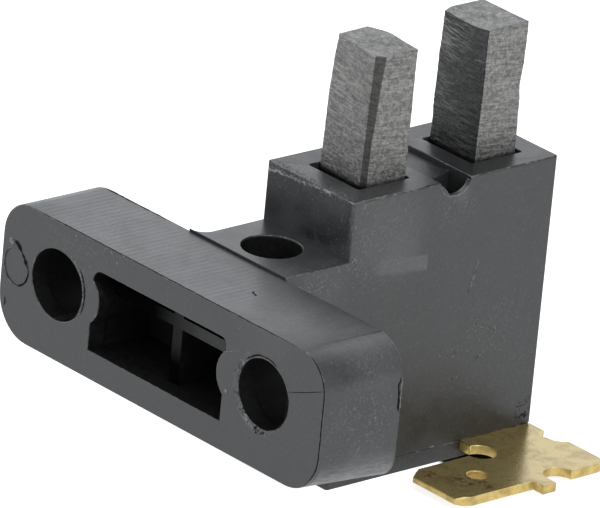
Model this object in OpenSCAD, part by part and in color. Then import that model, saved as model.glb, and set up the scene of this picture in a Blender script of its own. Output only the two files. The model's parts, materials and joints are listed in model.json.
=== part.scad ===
// Slip-ring brush holder: a moulded holder with a screw flange, two sprung carbon
// brushes and two blade terminals.
// The origin is on the flange's front face, midway between the two screw holes.
// +X runs along the flange, +Y goes back into the block, +Z is the way the brushes point.

/* [Flange] */
// Length of the mounting flange, end to end
flange_len = 38.9; // [36:0.1:48]
// Thickness of the flange, front to back
flange_t = 8.0; // [7:0.1:12]
// Height of the flange's top edge above the screw-hole axis
flange_rise = 5.15; // [4.5:0.05:9]
// Depth of the flange's bottom edge below the screw-hole axis
flange_drop = 6.4; // [5:0.05:9]
// Radius of the two top corners
flange_top_r = 3.0; // [1:0.1:4]
// Radius of the two bottom corners
flange_bottom_r = 3.6; // [1:0.1:4.5]
// Distance between the two screw holes
screw_pitch = 25.0; // [24:0.1:29]
// Diameter of the screw holes
screw_hole_d = 5.6; // [4:0.1:6]
// Diameter of the shallow round mark left on the flange's face, near its far end
mark_d = 3.1; // [1.5:0.1:3.2]
// Depth of that mark
mark_depth = 0.12; // [0.05:0.01:0.3]
// Distance from the flange's far end to the mark's centre
mark_in = 1.8; // [1.7:0.05:2.5]
// Depth of the mark's centre below the screw-hole axis
mark_drop = 0.4; // [0:0.1:1.5]

/* [Front recess] */
// Width of the recess in the flange's front face
recess_w = 16.1; // [12:0.1:16.4]
// How far the recess sits off the flange's middle, towards the far end
recess_shift = 0.27; // [0:0.01:0.4]
// Height of the recess's upper edge above the screw-hole axis
recess_rise = 2.8; // [2:0.05:3.6]
// Depth of the recess's lower edge below the screw-hole axis
recess_drop = 4.05; // [3:0.05:4.4]
// Depth from the flange's face down to the crossed ribs
recess_step = 1.7; // [1:0.1:3]
// Thickness of the wall left behind the four windows between the ribs
window_wall = 1.7; // [1:0.1:3]
// Height of the level rib's underside above the screw-hole axis
bar_rise = 0.62; // [-1:0.02:1]
// Thickness of the level rib
bar_t = 0.97; // [0.6:0.01:1.2]
// Thickness of the upright rib
rib_t = 1.1; // [0.6:0.1:2]
// How far the upright rib stands off the recess's middle, towards the near end
rib_shift = 0.5; // [0:0.05:0.8]
// How far the end walls bulge into the recess
bulge_in = 0.9; // [0.3:0.1:1.5]
// Radius of the bulges in the end walls
bulge_r = 2.3; // [1.6:0.1:3]
// Radius of the recess's corners
recess_r = 0.6; // [0.2:0.1:1]

/* [Neck] */
// Gap between the flange and the block, which the neck bridges
neck_len = 6.4; // [5.8:0.1:10]
// Height of the neck's top above the flange's top edge
neck_step = 0.2; // [0.1:0.02:2]
// Diameter of the upright hole through the neck
neck_hole_d = 4.9; // [3:0.1:5.1]
// Distance from the flange's back face to the centre of that hole
neck_hole_back = 3.3; // [2.8:0.05:3.8]
// How far that hole sits off the middle, towards the far side
neck_hole_aside = 0.4; // [0:0.05:1]
// Radius of the fillet between the flange and the neck's far side
neck_fillet = 1.3; // [0.5:0.1:2]

/* [Block] */
// Width of the block and the neck
block_w = 10.4; // [9.9:0.1:14]
// Length of the block, front to back
block_len = 21.5; // [20.2:0.1:28]
// Height of the block, with its base cover
block_h = 24.4; // [20:0.1:32]
// Height of the screw-hole axis above the underside of the base cover
axis_h = 14.05; // [10:0.05:16]
// Radius of the block's upright edges
block_edge_r = 0.25; // [0.1:0.05:0.6]

/* [Brushes] */
// Width of a brush, across the block
brush_w = 5.5; // [4.5:0.1:5.8]
// Thickness of a brush, along the block
brush_t = 4.45; // [3.8:0.05:4.6]
// Length of a brush when new
brush_len = 18.0; // [15:0.1:22]
// How far the brushes stand out of the block at rest
brush_out = 11.05; // [8:0.05:13]
// Distance between the two pockets that the brushes slide in, centre to centre
brush_pitch = 11.9; // [11.2:0.1:12.6]
// How far the pair of pockets sits behind the middle of the block
brush_set_back = 0.26; // [0:0.01:0.4]
// Clearance on each side of a brush, across the block
brush_gap_x = 0.27; // [0.2:0.01:0.35]
// Clearance on each side of a brush, along the block
brush_gap_y = 0.45; // [0.4:0.01:0.5]
// Radius of the pockets' corners
pocket_r = 0.2; // [0.1:0.05:0.4]
// How far both brushes rest off their pockets' middles, towards the far side
brush_aside = 0.12; // [0:0.01:0.15]
// How far the front brush rests behind its pocket's middle
front_brush_back = 0.38; // [0:0.01:0.38]
// How far the rear brush rests behind its pocket's middle
rear_brush_back = 0.2; // [0:0.01:0.35]
// How much the front brush's front face leans back over its free height
brush_lean = 0.4; // [0:0.05:1]
// Width of the ground flat on the front brush's near front edge
brush_edge_flat = 0.5; // [0.1:0.05:1]
// Radius of the hollow that the slip ring wears into a brush's end
ring_r = 20; // [8:0.5:60]

/* [Channel between the brushes] */
// Width of the shallow channel across the top of the block
channel_w = 3.15; // [2:0.05:3.4]
// Depth of that channel
channel_d = 0.35; // [0.1:0.05:1]
// Size across the block of the shaft at each end of the channel, at the shaft's front wall
shaft_front_w = 1.1; // [0.8:0.05:2]
// The same size at the shaft's rear wall
shaft_rear_w = 2.15; // [0.8:0.05:2.4]
// Thickness of the side wall outside each shaft
shaft_wall = 0.5; // [0.4:0.05:0.8]
// Thickness of the floor left under each shaft
shaft_floor = 1.6; // [1:0.1:6]
// How far the front side of the round notch in that wall slants back, from top to bottom
notch_slant = 1.15; // [0:0.05:1.4]

/* [Base cover] */
// Thickness of the base cover
cover_t = 1.4; // [1.2:0.02:3]
// Diameter of the peg that locates the cover in the block
peg_d = 2.2; // [1.2:0.1:2.6]
// Height of that peg above the cover
peg_h = 3.0; // [1:0.1:6]
// Clearance round the peg and over its end
peg_gap = 0.06; // [0.02:0.01:0.2]

/* [Terminals] */
// Thickness of the terminal sheet
sheet_t = 0.8; // [0.5:0.05:1]
// Width of the blade
blade_w = 6.3; // [4.8:0.1:9.5]
// Length of the blade, in front of its root
blade_len = 8.05; // [6:0.05:12]
// Distance from the block's side to the blade
blade_off = 2.75; // [2:0.05:6]
// Size of the cut corners at the blade's tip, across the blade
blade_corner_w = 0.65; // [0.3:0.05:1.6]
// Size of those corners along the blade
blade_corner_len = 1.25; // [0.3:0.05:1.8]
// Length of the bevels at the blade's tip
blade_bevel = 0.7; // [0.3:0.1:1.2]
// Depth of each bevel, as a share of the sheet's thickness
bevel_share = 0.2; // [0.1:0.05:0.3]
// Diameter of the latch hole in the blade
blade_hole_d = 1.65; // [1.2:0.05:2.4]
// Distance from the blade's tip to the latch hole
blade_hole_in = 4.7; // [3:0.1:5.5]
// How far the tongue's edges lie under the pocket's walls
tongue_lap = 0.18; // [0.1:0.01:0.25]
// How far the tongue's end lies under the pocket's far wall
tongue_end_lap = 0.4; // [0.2:0.05:0.6]
// How far the root's front edge stands in front of the tongue
root_shoulder = 0.16; // [0.05:0.01:0.6]
// Radius of the round reliefs punched in the outline
nibble_r = 1.33; // [0.8:0.01:1.4]
// How far outside the blade's inner edge the inner relief is centred
slot_out = 0.2; // [0:0.05:0.4]
// How far the back relief's centre lies outside the root's back edge
back_nibble_out = 0.3; // [0.1:0.05:0.5]
// How far across that centre lies from the blade's inner edge
back_nibble_in = 0.35; // [0:0.05:0.6]
// Length of the cut-off carrier stub on the outer edge
stub_len = 1.15; // [0.3:0.05:2]
// Width of that stub
stub_w = 1.4; // [0.8:0.05:1.6]
// How far the stub starts in front of the root's front edge
stub_lead = 0.1; // [0:0.05:0.4]
// Radius of the root's outer back corner
root_corner_r = 1.0; // [0.3:0.1:1.4]
// Clearance round the tongue in the base cover
sheet_gap = 0.05; // [0.02:0.01:0.2]

/* [Springs and shunts] */
// How far inside the brush's thickness each side of its spring stays
spring_inset = 0.25; // [0.1:0.05:0.5]
// Diameter of the spring wire
wire_d = 0.45; // [0.3:0.05:0.6]
// Number of turns in a spring
spring_turns = 10; // [7:1:12]
// Number of turns closed up at each end of a spring
closed_turns = 1; // [1:1:2]
// Diameter of the braided copper shunt
shunt_d = 1.2; // [0.8:0.1:1.4]
// How far the shunt waves to each side, to let the brush move
shunt_wave = 0.35; // [0:0.05:0.4]
// Clearance round the shunt in the brush's foot
socket_gap = 0.2; // [0.1:0.05:0.3]
// Depth of the hole in the brush's foot that takes the shunt
socket_depth = 3.5; // [2:0.1:5]
// Room left over the shunt's end in that hole
socket_end_gap = 0.5; // [0.2:0.1:1]
// How far the weld pad on the terminal stands out round the shunt
weld_lap = 0.3; // [0.1:0.05:0.4]
// Height of the weld pad
weld_h = 0.3; // [0.1:0.05:0.6]

/* [Hidden] */
$fn = 48;

cut = 1;                                    // how far a cutting solid runs past the face it opens
block_front = flange_t + neck_len;
block_mid = block_front + block_len / 2;
block_back = block_front + block_len;
base_z = -axis_h;
seam_z = base_z + cover_t;                  // top of the base cover, and of the terminals in it
block_top = base_z + block_h;
neck_top = flange_rise + neck_step;

pair_mid = block_mid + brush_set_back;
front_y = pair_mid - brush_pitch / 2;       // middle of the front pocket
rear_y = pair_mid + brush_pitch / 2;        // middle of the rear pocket
pocket_w = brush_w + 2 * brush_gap_x;
pocket_t = brush_t + 2 * brush_gap_y;
brush_foot = block_top + brush_out - brush_len;
brush_tip = brush_foot + brush_len;
spring_len = brush_foot - seam_z;

side = block_w / 2;                         // the block's near face is at x = side
root_back = block_back - rear_y;            // the rear terminal's root is flush with the block's back
blade_x0 = side + blade_off;
blade_x1 = blade_x0 + blade_w;
tongue_w = pocket_t + 2 * tongue_lap;
tongue_reach = pocket_w / 2 + tongue_end_lap;
root_front = tongue_w / 2 + root_shoulder;
blade_tip = -root_front - blade_len;
stub_y = -root_front - stub_lead;

spring_d = brush_t - 2 * spring_inset;
socket_d = shunt_d + 2 * socket_gap;
coil_rise = wire_d * 1.08;                  // lead of a closed turn, which just clears the next
coil_sides = 6;                             // facets round the spring wire
coil_steps = 20;                            // rings in each turn
braid_sides = 8;                            // facets round the shunt
braid_rings = 32;

plastic = [0.30, 0.31, 0.31];
carbon = [0.44, 0.43, 0.42];
brass = [0.72, 0.65, 0.46];
steel = [0.62, 0.63, 0.65];
copper = [0.72, 0.45, 0.30];

// Outline of the flange seen from the front: a rectangle with two sizes of round corner.
module flange_outline() {
    half = flange_len / 2;
    top_in = half - flange_top_r;
    bottom_in = half - flange_bottom_r;
    translate([-half, -flange_drop + flange_bottom_r])
        square([flange_len, flange_rise + flange_drop - flange_top_r - flange_bottom_r]);
    translate([-top_in, flange_rise - flange_top_r]) square([2 * top_in, flange_top_r]);
    translate([-bottom_in, -flange_drop]) square([2 * bottom_in, flange_bottom_r]);
    for (s = [-1, 1]) {
        translate([s * top_in, flange_rise - flange_top_r]) circle(r = flange_top_r);
        translate([s * bottom_in, -flange_drop + flange_bottom_r]) circle(r = flange_bottom_r);
    }
}

// A rectangle centred on the origin, with round corners.
module round_rect(w, t, r) {
    square([w - 2 * r, t], center = true);
    square([w, t - 2 * r], center = true);
    for (sx = [-1, 1], sy = [-1, 1])
        translate([sx * (w / 2 - r), sy * (t / 2 - r)]) circle(r = r);
}

// The front recess's outline: its upper corners are round and a boss bulges in from each end.
module recess_outline() {
    half = recess_w / 2;
    difference() {
        union() {
            translate([-half, -recess_drop]) square([recess_w, recess_drop + recess_rise - recess_r]);
            translate([-half + recess_r, -recess_drop])
                square([recess_w - 2 * recess_r, recess_drop + recess_rise]);
            for (s = [-1, 1])
                translate([s * (half - recess_r), recess_rise - recess_r]) circle(r = recess_r);
        }
        for (s = [-1, 1])
            translate([s * (half - bulge_in + bulge_r), 0]) circle(r = bulge_r);
    }
}

// Stands a front-view outline up and gives it depth: it starts y0 behind the flange's face.
module from_front(y0, depth) {
    translate([0, y0 + depth, 0]) rotate([90, 0, 0]) linear_extrude(depth) children();
}

// The recess, down to two crossed ribs, with four deeper windows between them.
module front_recess() {
    from_front(-cut, cut + recess_step) recess_outline();
    from_front(-cut, cut + flange_t - window_wall) difference() {
        recess_outline();
        translate([-recess_w / 2 - cut, bar_rise]) square([recess_w + 2 * cut, bar_t]);
        translate([rib_shift - rib_t / 2, -recess_drop - cut])
            square([rib_t, recess_drop + recess_rise + 2 * cut]);
    }
}

module flange() {
    difference() {
        from_front(0, flange_t) flange_outline();
        for (s = [-1, 1]) from_front(-cut, flange_t + 2 * cut)
            translate([s * screw_pitch / 2, 0]) circle(d = screw_hole_d);
        from_front(-cut, cut + mark_depth) translate([mark_in - flange_len / 2, -mark_drop])
            circle(d = mark_d);
        translate([-recess_shift, 0, 0]) front_recess();
    }
}

// The neck's plan: as wide as the block, with a fillet where its far side meets the flange.
module neck_plan() {
    translate([-side, flange_t]) square([block_w, neck_len + cut]);
    difference() {
        translate([-side - neck_fillet, flange_t]) square([neck_fillet + cut, neck_fillet]);
        translate([-side - neck_fillet, flange_t + neck_fillet]) circle(r = neck_fillet);
    }
}

// The bridge from the flange to the block. Its top stands proud of the flange.
module neck() {
    flange_h = flange_rise + flange_drop;
    translate([0, 0, -flange_drop]) linear_extrude(flange_h + neck_step) neck_plan();
    translate([-side, flange_t - cut, -flange_drop]) cube([block_w, 2 * cut, flange_h]);
}

// The block's plan, which the base cover shares.
module block_outline() {
    translate([0, block_mid]) round_rect(block_w, block_len, block_edge_r);
}

module pocket(y) {
    translate([0, y, seam_z - cut]) linear_extrude(block_top - seam_z + 2 * cut)
        round_rect(pocket_w, pocket_t, pocket_r);
}

// The notch in the side wall beside a shaft: half round, with a slanting front side.
module notch() {
    r = channel_w / 2;
    low = r + cut;
    rotate([90, 0, 90]) linear_extrude(shaft_wall + 2 * cut) translate([block_mid, block_top])
        intersection() {
            union() {
                circle(r = r);
                translate([-r, 0]) square([channel_w, low]);
            }
            polygon([[-r, low], [-r, 0], [-r + notch_slant * low / r, -low], [low, -low], [low, low]]);
        }
}

// The upright shaft inside the near side wall. Its inner wall slants away towards the rear.
module shaft() {
    x = side - shaft_wall;
    y = block_mid - channel_w / 2;
    translate([0, 0, seam_z + shaft_floor]) linear_extrude(block_top - seam_z - shaft_floor + cut)
        polygon([[x, y], [x, y + channel_w], [x - shaft_rear_w, y + channel_w], [x - shaft_front_w, y]]);
}

// The shallow channel across the top, with a deep shaft and a notch at each side.
module top_channel() {
    translate([-side - cut, block_mid - channel_w / 2, block_top - channel_d])
        cube([block_w + 2 * cut, channel_w, channel_d + cut]);
    for (s = [0, 1]) mirror([s, 0, 0]) {
        shaft();
        translate([side - shaft_wall - cut, 0, 0]) notch();
    }
}

module holder_body() color(plastic) difference() {
    union() {
        flange();
        neck();
        translate([0, 0, seam_z]) linear_extrude(block_top - seam_z) block_outline();
    }
    translate([-neck_hole_aside, flange_t + neck_hole_back, -flange_drop - cut])
        cylinder(d = neck_hole_d, h = neck_top + flange_drop + 2 * cut);
    pocket(front_y);
    pocket(rear_y);
    top_channel();
    translate([0, block_mid, seam_z - cut]) cylinder(d = peg_d + 2 * peg_gap, h = peg_h + peg_gap + cut);
}

// The seat for a terminal's tongue in the top of the base cover, open at one side.
module tongue_seat() {
    translate([-tongue_reach - sheet_gap, -tongue_w / 2 - sheet_gap, -sheet_t])
        cube([tongue_reach + side + sheet_gap + cut, tongue_w + 2 * sheet_gap, sheet_t + cut]);
}

module base_cover() color(plastic) {
    difference() {
        translate([0, 0, base_z]) linear_extrude(cover_t) block_outline();
        translate([0, rear_y, seam_z]) tongue_seat();
        translate([0, front_y, seam_z]) rotate([0, 0, 180]) tongue_seat();
    }
    translate([0, block_mid, seam_z - cover_t / 2]) cylinder(d = peg_d, h = cover_t / 2 + peg_h);
}

// What is cut off the blade's inner tip corner.
module tip_corner() {
    w = blade_corner_w;
    len = blade_corner_len;
    translate([blade_x0, blade_tip]) polygon([[-cut, -cut], [w, -cut], [w, 0], [0, len], [-cut, len]]);
}

// One stamped terminal in its own frame: the pocket's axis is at the origin, the block's side is
// at x = side, and the blade points towards -Y.
module terminal_outline() {
    difference() {
        union() {
            translate([-tongue_reach, -tongue_w / 2]) square([tongue_reach + side + cut, tongue_w]);
            translate([side, -root_front])
                square([blade_x1 - root_corner_r - side, root_front + root_back]);
            translate([side, -root_front])
                square([blade_x1 - side, root_front + root_back - root_corner_r]);
            translate([blade_x1 - root_corner_r, root_back - root_corner_r]) circle(r = root_corner_r);
            translate([blade_x0, blade_tip]) square([blade_w, blade_len + cut]);
            translate([blade_x1 - cut, stub_y]) square([stub_len + cut, stub_w]);
        }
        tip_corner();
        translate([blade_x0 + blade_x1, 0]) mirror([1, 0]) tip_corner();
        translate([(blade_x0 + blade_x1) / 2, blade_tip + blade_hole_in]) circle(d = blade_hole_d);
        translate([blade_x0 - slot_out, -root_front]) circle(r = nibble_r);
        translate([blade_x1, stub_y + stub_w + nibble_r]) circle(r = nibble_r);
        translate([blade_x0 + back_nibble_in, root_back + back_nibble_out]) circle(r = nibble_r);
    }
}

// The bevels on the two faces of the blade's tip.
module tip_bevels() {
    rise = sheet_t * bevel_share;
    for (s = [0, 1]) translate([0, 0, s * sheet_t]) mirror([0, 0, s])
        translate([blade_x0 - cut, blade_tip, 0]) rotate([90, 0, 90]) linear_extrude(blade_w + 2 * cut)
            polygon([[-cut, -cut], [-cut, rise], [0, rise], [blade_bevel, 0], [blade_bevel, -cut]]);
}

module terminal() color(brass) difference() {
    linear_extrude(sheet_t) terminal_outline();
    tip_bevels();
}

module terminal_near() translate([0, rear_y, seam_z - sheet_t]) terminal();

// The same stamping, turned half a turn to serve the front brush from the far side.
module terminal_far() translate([0, front_y, seam_z - sheet_t]) rotate([0, 0, 180]) terminal();

// A brush in its own frame: its axis is at the origin and its foot at z = 0.
module brush_blank(lean) {
    half = brush_t / 2;
    inside = brush_len - brush_out;
    ring_drop = sqrt(ring_r * ring_r - pow(brush_w / 2, 2));
    difference() {
        translate([-brush_w / 2, 0, 0]) rotate([90, 0, 90]) linear_extrude(brush_w)
            polygon([[-half, 0], [half, 0], [half, brush_len], [-half + lean, brush_len], [-half, inside]]);
        translate([0, half + cut, brush_len + ring_drop]) rotate([90, 0, 0])
            cylinder(r = ring_r, h = brush_t + 2 * cut, $fn = 96);
        translate([0, 0, -cut]) cylinder(d = socket_d, h = socket_depth + cut);
    }
}

// Moves a piece to a brush's axis: a brush rests a little off its pocket's middle.
module at_front_brush(z) translate([-brush_aside, front_y + front_brush_back, z]) children();
module at_rear_brush(z) translate([-brush_aside, rear_y + rear_brush_back, z]) children();

module brush_front() color(carbon) at_front_brush(brush_foot) difference() {
    brush_blank(brush_lean);
    lean_angle = atan(brush_lean / brush_out);
    translate([brush_w / 2, -brush_t / 2, brush_len - brush_out]) rotate([-lean_angle, 0, 0])
        rotate([0, 0, 45]) cube([brush_edge_flat, brush_edge_flat * 2, 3 * brush_out], center = true);
}

module brush_rear() color(carbon) at_rear_brush(brush_foot) brush_blank(0);

// Height of the wire's centre after a number of turns: closed at both ends, open between.
function coil_z(turn) =
    turn < closed_turns ? wire_d / 2 + turn * coil_rise :
    turn > spring_turns - closed_turns ? spring_len - wire_d / 2 - (spring_turns - turn) * coil_rise :
    let (low = wire_d / 2 + closed_turns * coil_rise, high = spring_len - low)
    low + (high - low) * (turn - closed_turns) / (spring_turns - 2 * closed_turns);

// Joins rings of points, each with the same number, into a closed tube.
module ring_tube(points, rings, sides) {
    faces = concat(
        [[for (j = [0:sides - 1]) j]],
        [for (i = [0:rings - 2], j = [0:sides - 1])
            let (k = (j + 1) % sides)
            [i * sides + j, (i + 1) * sides + j, (i + 1) * sides + k, i * sides + k]],
        [[for (j = [sides - 1:-1:0]) (rings - 1) * sides + j]]);
    polyhedron(points = points, faces = faces, convexity = 8);
}

module coil_spring() color(steel) {
    rings = spring_turns * coil_steps + 1;
    coil_r = (spring_d - wire_d) / 2;
    points = [for (i = [0:rings - 1], j = [0:coil_sides - 1])
        let (turn = i / coil_steps, a = 360 * turn, b = 360 * j / coil_sides,
             r = coil_r + wire_d / 2 * cos(b))
        [r * cos(a), r * sin(a), coil_z(turn) + wire_d / 2 * sin(b)]];
    ring_tube(points, rings, coil_sides);
}

module spring_front() at_front_brush(seam_z) coil_spring();
module spring_rear() at_rear_brush(seam_z) coil_spring();

// A braided shunt from its weld pad up into the brush's foot, with a gentle wave between.
module shunt() color(copper) {
    height = spring_len + socket_depth - socket_end_gap - weld_h;
    free = spring_len - weld_h;
    points = [for (i = [0:braid_rings - 1], j = [0:braid_sides - 1])
        let (z = height * i / (braid_rings - 1), t = min(z / free, 1), a = 360 * j / braid_sides,
             swing = shunt_wave * sin(180 * t) * sin(720 * t))
        [swing + shunt_d / 2 * cos(a), shunt_d / 2 * sin(a), weld_h + z]];
    ring_tube(points, braid_rings, braid_sides);
    cylinder(d = shunt_d + 2 * weld_lap, h = weld_h);
}

module shunt_front() at_front_brush(seam_z) shunt();
module shunt_rear() at_rear_brush(seam_z) shunt();

holder_body();
base_cover();
brush_front();
brush_rear();
spring_front();
spring_rear();
shunt_front();
shunt_rear();
terminal_near();
terminal_far();
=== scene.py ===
import json
import math

import bmesh
import bpy
import numpy as np
from mathutils import Matrix, Vector


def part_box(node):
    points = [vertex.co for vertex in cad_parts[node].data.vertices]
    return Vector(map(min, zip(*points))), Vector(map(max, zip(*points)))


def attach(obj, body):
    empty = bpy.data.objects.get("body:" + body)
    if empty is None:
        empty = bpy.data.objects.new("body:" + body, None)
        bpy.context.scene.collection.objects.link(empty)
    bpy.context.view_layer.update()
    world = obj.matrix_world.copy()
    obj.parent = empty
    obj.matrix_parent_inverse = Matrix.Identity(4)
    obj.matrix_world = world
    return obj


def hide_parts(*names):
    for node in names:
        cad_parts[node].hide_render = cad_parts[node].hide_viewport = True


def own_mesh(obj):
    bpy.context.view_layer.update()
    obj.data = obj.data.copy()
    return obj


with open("model.json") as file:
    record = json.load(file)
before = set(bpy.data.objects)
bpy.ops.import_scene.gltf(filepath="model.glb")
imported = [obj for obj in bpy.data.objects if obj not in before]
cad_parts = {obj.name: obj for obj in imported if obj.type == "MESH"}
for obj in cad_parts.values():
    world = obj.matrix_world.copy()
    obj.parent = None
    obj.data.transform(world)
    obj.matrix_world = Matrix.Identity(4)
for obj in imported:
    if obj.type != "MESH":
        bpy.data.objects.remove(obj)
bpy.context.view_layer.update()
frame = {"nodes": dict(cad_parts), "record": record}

mm = 0.001
scene = bpy.context.scene
scene.view_settings.view_transform = "Standard"

# Camera: a long lens from the flange's near end, a little above and rolled a few degrees.
photoView = {
    "azimuth": 47.326,  # degrees round the object, 0 looks along +Y
    "elevation": 21.667,
    "roll": 5.439,
    "distance": 709.2 * mm,
    "target": (-2.02 * mm, 15.86 * mm, 3.26 * mm),
    "lens": 540,  # mm on a 36 mm sensor
}


def addObject(name, data):
    added = bpy.data.objects.new(name, data)
    scene.collection.objects.link(added)
    return added


def makeCamera(look):
    a, e, r = (math.radians(look[k]) for k in ("azimuth", "elevation", "roll"))
    back = Vector((math.sin(a) * math.cos(e), -math.cos(a) * math.cos(e), math.sin(e)))
    level = Vector((math.cos(a), math.sin(a), 0))
    up = back.cross(level)
    right = level * math.cos(r) + up * math.sin(r)
    data = bpy.data.cameras.new("photoCamera")
    data.sensor_width = 36
    data.lens = look["lens"]
    data.clip_start, data.clip_end = 0.05, 20
    camera = addObject("photoCamera", data)
    turn = Matrix((right, back.cross(right), back)).transposed()
    camera.matrix_world = Matrix.Translation(Vector(look["target"]) + back * look["distance"]) @ turn.to_4x4()
    scene.camera = camera


makeCamera(photoView)
print("camera placed")


# Node helpers. They add to the tree at hand, which is the last one that was opened.
atHand = {}


def openTree(owner):
    owner.use_nodes = True
    atHand["tree"] = owner.node_tree
    return owner.node_tree


# Fills a node's sockets: a socket given as a value is linked, anything else becomes the default.
def fill(node, sockets):
    for key, value in sockets.items():
        if isinstance(value, bpy.types.NodeSocket):
            node.id_data.links.new(value, node.inputs[key])
        else:
            node.inputs[key].default_value = value
    return node


def addNode(kind, sockets=None, **settings):
    node = atHand["tree"].nodes.new("ShaderNode" + kind)
    for key, value in settings.items():
        setattr(node, key, value)
    return fill(node, sockets or {})


def calc(operation, *values):
    return addNode("Math", dict(enumerate(values)), operation=operation).outputs[0]


# Joins values by one operation, one after another.
def joined(operation, values):
    result = values[0]
    for value in values[1:]:
        result = calc(operation, result, value)
    return result


def times(*values):
    return joined("MULTIPLY", values)


def plus(*values):
    return joined("ADD", values)


# Carries a value from one range to another, clamped at both ends and eased between.
def carry(value, low, high, toLow=0, toHigh=1):
    sockets = {0: value, 1: low, 2: high, 3: toLow, 4: toHigh}
    return addNode("MapRange", sockets, interpolation_type="SMOOTHSTEP").outputs[0]


# 1 inside a range of values and 0 outside, eased over the given widths at its two ends.
def between(value, low, high, rise, fall):
    return times(carry(value, low, low + rise), carry(value, high - fall, high, 1, 0))


def blendColor(share, first, second):
    first, second = (c if isinstance(c, bpy.types.NodeSocket) else (*c, 1) for c in (first, second))
    return addNode("Mix", {0: share, 6: first, 7: second}, data_type="RGBA").outputs[2]


# Lays colours one over another, each by its own share.
def layered(color, layers):
    for share, top in layers:
        color = blendColor(share, color, top)
    return color


# Object coordinates in millimetres, turned and stretched.
def place(stretch=(1, 1, 1), turn=(0, 0, 0), shift=(0, 0, 0)):
    coords = addNode("TexCoord").outputs["Object"]
    toMm = addNode("Mapping", {"Vector": coords, "Scale": (1000, 1000, 1000)}).outputs[0]
    turn = [math.radians(t) for t in turn]
    turned = addNode("Mapping", {"Vector": toMm, "Location": shift, "Rotation": turn}).outputs[0]
    return addNode("Mapping", {"Vector": turned, "Scale": stretch}).outputs[0]


def placeAxes():
    return addNode("SeparateXYZ", {0: place()}).outputs


def grain(scale, detail, rough=0.6, twist=0, **where):
    return addNode("TexNoise", {"Vector": place(**where), "Scale": scale, "Detail": detail,
                                "Roughness": rough, "Distortion": twist}).outputs[0]


# A ball-shaped patch: 1 inside, falling to 0 at the given reach in mm.
def patch(centre, reach, soft):
    toCentre = place(shift=[-c for c in centre])
    far = addNode("VectorMath", {0: toCentre}, operation="LENGTH").outputs["Value"]
    return carry(far, reach * (1 - soft), reach, 1, 0)


# Layers for such patches, broken up by a pattern. Each row has a centre, a reach and a strength.
def patches(rows, soft, pattern, top):
    return [(times(patch(centre, reach, soft), strength, pattern), top)
            for centre, reach, strength in rows]


def newFinish(name, rough, metal, ior):
    finish = bpy.data.materials.new(name)
    shader = openTree(finish).nodes["Principled BSDF"]
    return finish, fill(shader, {"Roughness": rough, "Metallic": metal, "IOR": ior})


# Sets what varies over a finish; the bump is that of a height pattern over a distance in mm.
def vary(shader, color, rough, height, distance, strength, sheen=0.5):
    sockets = {"Height": height, "Distance": distance * mm, "Strength": strength}
    normal = addNode("Bump", sockets).outputs[0]
    fill(shader, {"Base Color": color, "Roughness": rough, "Specular IOR Level": sheen, "Normal": normal})


# World and lamp: an even white room and a soft lamp from the right.
studio = {
    "ambient": 0.75,  # strength of the white room for diffuse light
    "mirrored": (1.5, 0.75),  # and in reflections, on the far side and on the near side
    "sky": (0.93, 0.96, 1),  # the room's tint in both
    "keyPower": 2.1,  # watts
    "keySize": 0.35,
    "keyPlace": (0.65, -0.12, 0.45),
    "keyTarget": (0, 0.018, 0),
    "floorHalf": 1.5,
    "floorColor": 0.8,
    "paintedShadowColor": 0.02,
    "floorGlow": 0.42,  # added to the floor in reflections
    "floorShown": 0.8,  # added to the floor for the camera
    "paintedShadowUnderBlade": ((4.4, 8.2), (26, 34.5)),  # mm, x and y of the painted shadow in the corner between blade and block
}


# The room is plain white to the camera; its light and its reflections are slightly blue.
def makeWorld(look):
    world = bpy.data.worlds.new("whiteRoom")
    scene.world = world
    tree = openTree(world)
    rays = addNode("LightPath").outputs
    direction = addNode("TexCoord").outputs["Generated"]
    sideways = addNode("SeparateXYZ", {0: direction}).outputs[0]
    extra = plus(carry(sideways, -0.6, 0.5, *look["mirrored"]), -look["ambient"])
    strength = plus(times(rays["Is Glossy Ray"], extra), look["ambient"])
    room = fill(tree.nodes["Background"], {"Color": (*look["sky"], 1), "Strength": strength})
    white = addNode("Background", {"Color": (1, 1, 1, 1), "Strength": 1})
    both = addNode("MixShader", {0: rays["Is Camera Ray"], 1: room.outputs[0], 2: white.outputs[0]})
    fill(tree.nodes["World Output"], {"Surface": both.outputs[0]})


def makeLamp(look):
    data = bpy.data.lights.new("keyLamp", "AREA")
    data.energy = look["keyPower"]
    data.shape = "DISK"
    data.size = look["keySize"]
    lamp = addObject("keyLamp", data)
    lamp.location = look["keyPlace"]
    aim = Vector(look["keyTarget"]) - Vector(look["keyPlace"])
    lamp.rotation_euler = aim.to_track_quat("-Z", "Y").to_euler()


def makeFloor(look):
    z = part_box("base_cover")[0].z
    h = look["floorHalf"]
    mesh = bpy.data.meshes.new("floor")
    mesh.from_pydata([(-h, -h, z), (h, -h, z), (h, h, z), (-h, h, z)], [], [(0, 1, 2, 3)])
    floor = addObject("floor", mesh)
    finish, shader = newFinish("paleFloor", 0.9, 0, 1.3)
    tree = shader.id_data
    tree.nodes.remove(shader)
    rays = addNode("LightPath").outputs
    spot = placeAxes()
    # Painted shadow: for the camera the floor under the blade is painted dark, in the corner between blade
    # and block.
    shade = rays["Is Camera Ray"]
    for axis, (low, high) in enumerate(look["paintedShadowUnderBlade"]):
        shade = times(shade, between(spot[axis], low, high + 0.9, 0.7, 0.9))
    color = blendColor(shade, [look["floorColor"]] * 3, [look["paintedShadowColor"]] * 3)
    paint = addNode("BsdfDiffuse", {"Color": color})
    shown = times(rays["Is Camera Ray"], look["floorShown"], plus(1, times(shade, -1)))
    mirrored = times(rays["Is Glossy Ray"], look["floorGlow"])
    glow = addNode("Emission", {"Strength": plus(shown, mirrored)})
    both = addNode("AddShader", {0: paint.outputs[0], 1: glow.outputs[0]})
    fill(tree.nodes["Material Output"], {"Surface": both.outputs[0]})
    mesh.materials.append(finish)


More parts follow.
